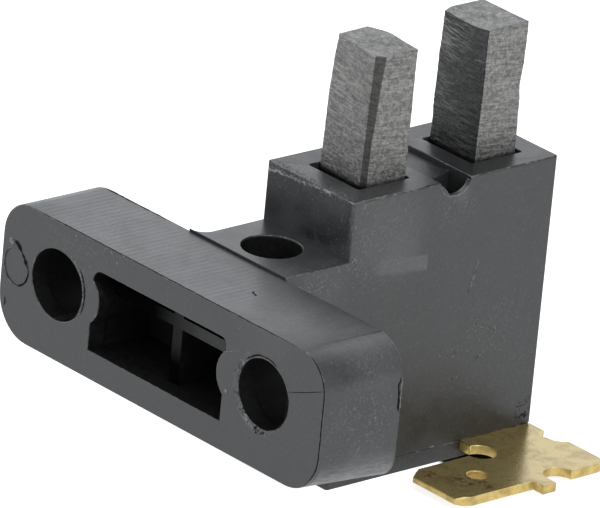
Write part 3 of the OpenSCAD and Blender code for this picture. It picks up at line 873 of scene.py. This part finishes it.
# A brush: its outline joins the corners with straight sides at each height, is smoothed along its
# length to round the edges, and is pushed in or out by slow waves, level saw marks and grain. The
# skin starts in the socket in the foot and ends at the middle of the worn top.
def makeBrush(name, node, shape, top):
    foot = sawing["foot"]
    heights = np.concatenate([np.linspace(foot, *sawing["hidden"]), np.arange(*sawing["shown"])])
    share = np.concatenate([[0], np.cumsum(shape["samples"])])
    count, rows = share[-1], len(heights)
    corner = np.stack([[np.interp(heights, shape["heights"], np.broadcast_to(v, len(shape["heights"])))
                        for v in axes] for axes in shape["corners"]])  # corner, axis, height
    ring = np.zeros((rows, count, 2))
    for n, samples in enumerate(shape["samples"]):
        t = (np.arange(samples) + 0.5) / samples
        a, b = corner[n], corner[(n + 1) % len(corner)]
        ring[:, share[n]:share[n + 1]] = (a[:, :, None] * (1 - t) + b[:, :, None] * t).transpose(1, 2, 0)
    reach = np.arange(-4, 5)
    weight = np.exp(-reach ** 2 / (2 * shape["rounding"] ** 2))
    ring = sum(w * np.roll(ring, r, 1) for r, w in zip(reach, weight / weight.sum()))
    along = np.roll(ring, -1, 1) - np.roll(ring, 1, 1)
    out = unit(np.stack([along[..., 1], -along[..., 0]], -1))
    push = shape["waves"] * field(shape["seed"], rows, count, 14, 12)
    push += shape["saw"] * field(shape["seed"] + 1, rows, count, 60, 9)
    push += sawing["grain"] * field(shape["seed"] + 2, rows, count, rows - 1, count // 2)
    ring += out * (push - sawing["sunk"])[..., None]
    limit = top(ring[..., 0], ring[..., 1])
    z = foot + (limit - foot) * ((heights - foot) / (heights[-1] - foot))[:, None]
    body = np.concatenate([ring, z[..., None]], -1)
    x, y, radius, depth = shape["socket"]
    angle = np.arctan2(ring[0, :, 1] - y, ring[0, :, 0] - x)
    mouth = around(x, y, radius, angle, foot)
    roof = mouth + (0, 0, depth)
    middle = np.array([x, y, foot + depth])
    socket = [middle + (roof - middle) * 0.5, roof, mouth, mouth * 0.5 + body[0] * 0.5]
    edge, centre = body[-1], body[-1].mean(0)
    cap = []
    for inset in sawing["capInsets"]:
        level = edge + (centre - edge) * inset
        rough = sawing["capGrain"] * field(shape["seed"] + int(inset * 100), 1, count, 1, count // 3)[0]
        level[:, 2] = top(level[:, 0], level[:, 1]) + rough + min(inset, sawing["capEdge"])
        cap.append(level)
    rings = np.concatenate([np.stack(socket), body, np.stack(cap)])
    used = np.tile(np.repeat(shape["finish"], shape["samples"]), len(rings) - 1)
    used[count * (len(socket) + rows):] = 0  # the top is sawn all over
    used = np.append(used, np.zeros(2 * count, int))
    mesh = newMesh(name, skinPoints(rings), skinFaces(len(rings), count), used)
    return install(name, mesh, node, ["carbon", "carbonDark", "carbonGround"])


makeBrush("frontBrush", "brush_front", frontBrush, frontTop)
makeBrush("rearBrush", "brush_rear", rearBrush, rearTop)
print("brushes sawn")


# Rings of a round section swept along a path: at each step the middle, plus the radius times the
# cosine of an angle sideways and its sine upwards. Sideways is square to the step and to a guide.
def sweep(path, radius, sides, guide=(0, 0, 1)):
    step = unit(np.gradient(path, axis=0))
    sideways = unit(np.cross(step, guide))
    up = np.cross(sideways, step)
    a = angles(sides)[None, :, None]
    return path[:, None] + radius * (np.cos(a) * sideways[:, None] + np.sin(a) * up[:, None])


# The points and faces of several closed skins together.
def gather(parts):
    points, faces, first = [], [], 0
    for rings in parts:
        points.append(skinPoints(rings))
        faces += skinFaces(len(rings), rings.shape[1], first)
        first += len(points[-1])
    return np.concatenate(points), faces


coil = {"low": -12.65, "high": 3.4, "turns": 10, "closed": 1, "wire": 0.45, "radius": 1.75, "steps": 36,
        "lead": 1.08}  # the closed turns' climb, in wires
shunt = {"low": -12.35, "high": 6.4, "free": 3.4, "wave": 0.35, "steps": 240,
         "radius": 0.46, "core": 0.75, "weave": 0.06, "strand": 0.13, "strands": 6, "twist": 5,
         "pad": 0.9, "padSides": 24,
         "padProfile": ((0.6, -0.3), (1, -0.3), (1.03, -0.15), (0.96, -0.02), (0.6, 0.04))}


# A spring: the wire's middle goes round at one radius and climbs, closed up for a turn at each end
# and evenly between.
def makeSpring(name, node, centre):
    turns = np.linspace(0, coil["turns"], coil["turns"] * coil["steps"] + 1)
    lead = coil["wire"] * coil["lead"]
    low, high = coil["low"] + coil["wire"] / 2, coil["high"] - coil["wire"] / 2
    places = (0, coil["closed"], coil["turns"] - coil["closed"], coil["turns"])
    climb = np.interp(turns, places, (low, low + lead, high - lead, high))
    path = around(*centre, coil["radius"], turns * math.tau, climb)
    piece = install(name, newMesh(name, *gather([sweep(path, coil["wire"] / 2, 10)])), node, ["steel"])
    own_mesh(piece)


# A shunt: strands wind round a waving middle line both ways, rising over and dipping under each
# other, from a weld pad up into the brush's socket.
def makeShunt(name, node, centre):
    z = np.linspace(shunt["low"], shunt["high"], shunt["steps"])
    t = np.clip((z - shunt["low"]) / (shunt["free"] - shunt["low"]), 0, 1)
    swing = shunt["wave"] * np.sin(np.pi * t) * np.sin(4 * np.pi * t)
    x, y = centre
    middle = np.stack([x + swing, np.full_like(z, y), z], 1)
    parts = [sweep(middle, shunt["radius"] * shunt["core"], 10, (0, 1, 0))]
    climb = (z - shunt["low"]) / (shunt["high"] - shunt["low"]) * shunt["twist"]
    for way in (-1, 1):
        for n in range(shunt["strands"]):
            a = (way * climb + n / shunt["strands"]) * math.tau
            lift = shunt["radius"] + way * shunt["weave"] * np.sin(a * shunt["strands"])
            parts.append(sweep(around(x + swing, y, lift, a, z), shunt["strand"], 6, (0, 1, 0)))
    reach, rise = np.array(shunt["padProfile"]).T[:, :, None]
    parts.append(around(x, y, shunt["pad"] * reach, angles(shunt["padSides"]), shunt["low"] + rise))
    piece = install(name, newMesh(name, *gather(parts)), node, ["copper"])
    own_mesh(piece)


for end, brush in (("front", frontBrush), ("rear", rearBrush)):
    makeSpring(end + "Spring", "spring_" + end, brush["socket"][:2])
    makeShunt(end + "Shunt", "shunt_" + end, brush["socket"][:2])
print("springs and shunts wound")

# The flat faces that marks lie on: a start, the directions of two measures, and the way out.
near, back, up, front = (1, 0, 0), (0, 1, 0), (0, 0, 1), (0, -1, 0)
flats = {
    "front": ((0, 0, 0), near, up, front),
    "top": ((0, 0, 5.15), near, back, up),
    "end": ((19.45, 0, 0), back, up, near),
    "neck": ((0, 0, 5.35), near, back, up),
    "side": ((5.2, 0, 0), back, up, near),
    "blockTop": ((0, 0, 10.35), near, back, up),
    "blockFront": ((0, 14.4, 0), near, up, front),
    "brushFront": ((0, 17.23, 0), (1, 0, 0), (0, 0.0385, 1), (0, -1, 0.0385)),
}


# How ridges and specks are made, in shares of their size where no unit is given.
markShape = {
    "steps": (6, 0.12),  # the fewest, and mm between two
    "sides": 8,
    "wander": 0.25,  # of the width, sideways
    "ends": (0.12, 0.05, 0.12),  # of the length and in mm, an end that fades, and what is left there
    "under": -0.3,  # of the height, its underside in the face
    "speckSides": 6,
    "speckRings": ((1, -0.15), (0.8, 0.25), (0.3, 0.4)),  # reach and rise
    "speckSizes": (0.4, 1.2),
    "speckUneven": (0.7, 1.3),
}


# Points on an arc round a centre, between two angles in degrees.
def arc(centre, radius, start, end, count=12):
    a = np.radians(np.linspace(start, end, count))
    return around(*centre, radius, a, 0)[:, :2]


# A mark: an arched ridge swept along a line on a flat face. At each step it goes sideways by half
# the width times a cosine and out by the height times a sine. Its width wanders at random and
# comes to little at both ends.
def ridge(flat, width, height, line, ragged, seed):
    start, first, second, out = (np.array(v, float) for v in flats[flat])
    line = np.asarray(line, float)
    far = np.concatenate([[0], np.cumsum(np.linalg.norm(np.diff(line, axis=0), axis=1))])
    length = far[-1]
    fewest, apart = markShape["steps"]
    count = max(fewest, int(length / apart))
    s = np.linspace(0, length, count)
    flatLine = np.stack([np.interp(s, far, line[:, n]) for n in (0, 1)], 1)
    random = np.random.default_rng(seed)
    wander = random.normal(0, 1, count // 3 + 2)
    wander = np.interp(s, np.linspace(0, length, len(wander)), wander) * ragged * width * markShape["wander"]
    flatLine += wander[:, None] * (1, -1)
    path = start + flatLine[:, :1] * first + flatLine[:, 1:] * second
    sideways = np.cross(unit(np.gradient(path, axis=0)), out)
    swell = random.uniform(-1, 1, count // 2 + 2)
    swell = 1 + ragged * np.interp(s, np.linspace(0, length, len(swell)), swell)
    share, more, left = markShape["ends"]
    fade = np.clip(np.minimum(s, length - s) / (share * length + more), left, 1) * swell
    a = angles(markShape["sides"])[None, :, None]
    across = (width / 2 * fade)[:, None, None] * np.cos(a) * sideways[:, None]
    lift = (height * fade)[:, None, None] * np.maximum(np.sin(a), markShape["under"]) * out
    return path[:, None] - across + lift


# Specks: small low pebbles at random places in a slanting band on a flat face.
def specks(flat, start, end, spread, size, count, seed):
    origin, first, second, out = (np.array(v, float) for v in flats[flat])
    random = np.random.default_rng(seed)
    t = random.uniform(0, 1, (count, 1))
    spot = np.array(start) * (1 - t) + np.array(end) * t + random.normal(0, spread, (count, 2))
    grow = size * random.uniform(*markShape["speckSizes"], count)
    a = angles(markShape["speckSides"])
    rings = []
    for scale, rise in markShape["speckRings"]:
        uneven = grow[:, None] * scale * random.uniform(*markShape["speckUneven"], (count, len(a)))
        flatRing = spot[:, None] + np.stack([uneven * np.cos(a), uneven * np.sin(a)], -1)
        onFlat = origin + flatRing[..., :1] * first + flatRing[..., 1:] * second
        rings.append(onFlat + (grow * rise)[:, None, None] * out)
    stack = np.stack(rings, 1)  # speck, ring, point, axis
    return list(stack if np.dot(np.cross(first, second), out) > 0 else stack[:, :, ::-1])


# Lays marks on a body: rows for ridges, and rows for bands of specks.
def lay(name, node, finish, ridges, bands=()):
    skins = [ridge(*row) for row in ridges]
    for row in bands:
        skins += specks(*row)
    install(name, newMesh(name, *gather(skins)), node, [finish], False)


rim = nearHole["centre"]
# Pale marks: scrapes, a burr and scratches, and a painted highlight along the neck's near edge (seed 12).
pale = [
    ("front", 0.09, 0.04, arc(farHole["centre"], 3.16, 70, -40), 0.4, 4),
    ("front", 0.07, 0.03, [(7.5, 1.6), (8.5, 2.05), (9.55, 2.5)], 0.5, 5),
    ("front", 0.3, 0.05, [(-18.6, 1.55), (-18.1, 1.45)], 0.6, 6),
    ("front", 0.08, 0.03, [(9, 4), (9.8, 4.9)], 0.6, 7),
    ("front", 0.1, 0.03, [(-6.5, 5), (-6.1, 4.6)], 0.9, 9),
    ("front", 0.1, 0.03, [(-5.9, 4.5), (-5.5, 4.1)], 0.9, 10),
    ("neck", 0.12, 0.03, [(5.15, 8.1), (5.15, 9.3), (5.17, 10.6)], 0.6, 12),
    ("side", 0.09, 0.03, [(9.3, 4.4), (10, 3.95), (10.7, 3.66), (11.5, 3.7), (12.1, 4)], 0.5, 13),
    ("side", 0.16, 0.04, [(14.75, 5.3), (15.15, 5.6)], 0.5, 14),
    ("side", 0.14, 0.03, [(25, -12.5), (25.7, -12.6)], 0.5, 25),
    ("end", 0.1, 0.06, [(7.95, 2.4), (7.9, 1.7), (7.9, 0.9), (7.95, -0.6)], 0.5, 27),
    ("blockFront", 0.1, 0.04, [(-5, 10.1), (-4.6, 9.95), (-4.4, 10.1)], 0.9, 35),
    ("side", 0.1, 0.03, arc((0, 0), 1.64, 188, 352) * (1, 0.8) + (25.15, 10.3), 0.6, 36),
    ("blockTop", 0.1, 0.03, [(5.1, 14.5), (5.1, 18), (5.1, 21.5)], 0.8, 29),
]
paleSpecks = [
    ("front", (8.1, -1.3), (8.3, -1.5), 0.08, 0.17, 5, 42),
    ("front", (-18.5, 1.65), (-18.25, 1.5), 0.06, 0.3, 7, 80),
    ("blockTop", (-4.4, 14.85), (4.4, 14.85), 0.2, 0.05, 170, 43),
    ("blockFront", (-4.6, 10.05), (4.6, 10.1), 0.1, 0.05, 90, 83),
    ("top", (15.6, 6.5), (18, 4), 0.7, 0.04, 20, 44),
    ("side", (9.2, 4.2), (15.5, 3.2), 0.45, 0.035, 30, 45),
    ("side", (15.2, 9), (15.6, 5.5), 0.28, 0.035, 24, 46),
    ("side", (17, 4.5), (20.5, 7.2), 1, 0.03, 40, 47),
    ("side", (26.5, -9), (31.5, 2), 1.2, 0.03, 40, 49),
]
lay("paleMarks", "holder_body", "scrapedAndHighlit", pale, paleSpecks)

sideScuffs = [  # width, line, raggedness and seed
    (0.24, [(28.5, 3.1), (28.25, 2.4), (28.05, 1.6), (27.7, 0.5)], 0.7, 15),
    (0.14, [(27.7, 0.5), (27.45, 0), (27.2, -0.5)], 0.6, 81),
    (0.12, [(27.6, 0.6), (27.85, -0.3)], 0.5, 16),
    (0.2, [(28.7, -2.5), (29.3, -3), (30.3, -3.4), (31, -3.3), (31, -4.2)], 0.9, 17),
    (0.24, [(24.9, -4.4), (25.4, -4.9)], 0.9, 18),
    (0.24, [(26.4, -4.3), (27, -4.6), (26.5, -5.2)], 0.9, 19),
    (0.14, [(26.6, -7), (27.4, -6.9), (28.2, -7.1)], 0.9, 20),
    (0.24, [(29, -5.9), (29.7, -5.5), (29.9, -4.7)], 0.9, 21),
    (0.12, [(25.6, -7.9), (26.6, -7.5), (27.1, -8.1)], 0.9, 22),
    (0.12, [(27.9, -8.4), (28.9, -8)], 0.9, 23),
    (0.08, [(22.2, -1.2), (23.4, -0.4), (24.2, 0.1)], 0.7, 82),
]
scuffs = [("side", width, 0.012, *rest) for width, *rest in sideScuffs] + [
    ("front", 0.14, 0.05, arc(rim, 2.98, 150, 200), 0.9, 2),
    ("front", 0.12, 0.04, arc(rim, 3, 262, 310), 0.9, 32),
    ("blockTop", 0.16, 0.03, [(-5.1, 14.46), (-2, 14.46), (1.5, 14.5), (4.9, 14.46)], 0.9, 28),
]
scuffSpecks = [
    ("blockFront", (-4.6, 9.98), (4.7, 10), 0.13, 0.07, 110, 52),
    ("blockTop", (-4.4, 14.9), (4.6, 14.9), 0.16, 0.07, 90, 77),
]
lay("scuffMarks", "holder_body", "scuffed", scuffs, scuffSpecks)

roundEnd = [*arc((16.45, 2.15), 2.97, 75, 0, 10), *arc((15.85, -2.7), 3.57, 0, -50, 10)]
# Dark marks: soot and smudges, and painted shade: the shadow crescent at the ejector disc near (-17.65, -0.4)
# and the dark rims round both screw holes.
dark = [
    ("front", 0.13, 0.04, arc(rim, 3, 140, 62), 0.4, 51),
    ("front", 0.12, 0.04, arc(farHole["centre"], 3.36, 42, -28), 0.4, 52),
    ("front", 0.3, 0.06, [(-18, 1.7), (-17.6, 1.55), (-17.3, 1.3), (-16.95, 0.95)], 0.5, 53),
    ("front", 0.3, 0.05, [(-17.05, 1.05), (-16.65, 0.55), (-16.35, 0)], 0.6, 67),
    ("front", 0.14, 0.05, arc((-17.65, -0.4), 1.52, 30, -85), 0.4, 54),
    ("front", 0.14, 0.04, [(-18.75, -3.35), (-18.62, -3.7), (-18.75, -4.1)], 0.3, 56),
    ("front", 0.06, 0.02, [(15.2, 1.15), (17.2, 1.85), (19.3, 2.7)], 0.2, 57),
    ("top", 0.1, 0.03, [(-16.4, 0.03), (0, 0.03), (16.4, 0.03)], 0.4, 58),
    ("top", 0.14, 0.03, [(-17, 7.9), (-13, 7.9), (-9, 7.95)], 0.5, 59),
    ("top", 0.12, 0.05, [(5.6, 4.2), (6.1, 4), (6.5, 3.9)], 0.4, 61),
    ("front", 0.13, 0.03, roundEnd, 0.3, 62),
    ("end", 0.18, 0.05, [(7.75, 2.4), (7.65, 1.7), (7.7, 0.9), (7.8, -0.6)], 0.5, 63),
    ("front", 0.1, 0.04, arc(rim, 2.92, 300, 380), 0.9, 71),
    ("blockTop", 0.09, 0.02, [(5.1, 21.8), (5.1, 23.4)], 0.5, 66),
]
darkSpecks = [
    ("side", (34.4, -10.6), (35.2, -12.2), 0.2, 0.07, 12, 73),
    ("front", (11, -2.9), (12.9, -3.3), 0.15, 0.1, 12, 74),
]
lay("darkMarksAndShade", "holder_body", "sootAndShade", dark, darkSpecks)
scored = [("brushFront", 0.07, 0.03, [(2.02, 20.2), (2.05, 17), (2.08, 14.2)], 0.6, 76)]
lay("brushScratch", "brush_front", "carbon", scored)
print("marks laid")
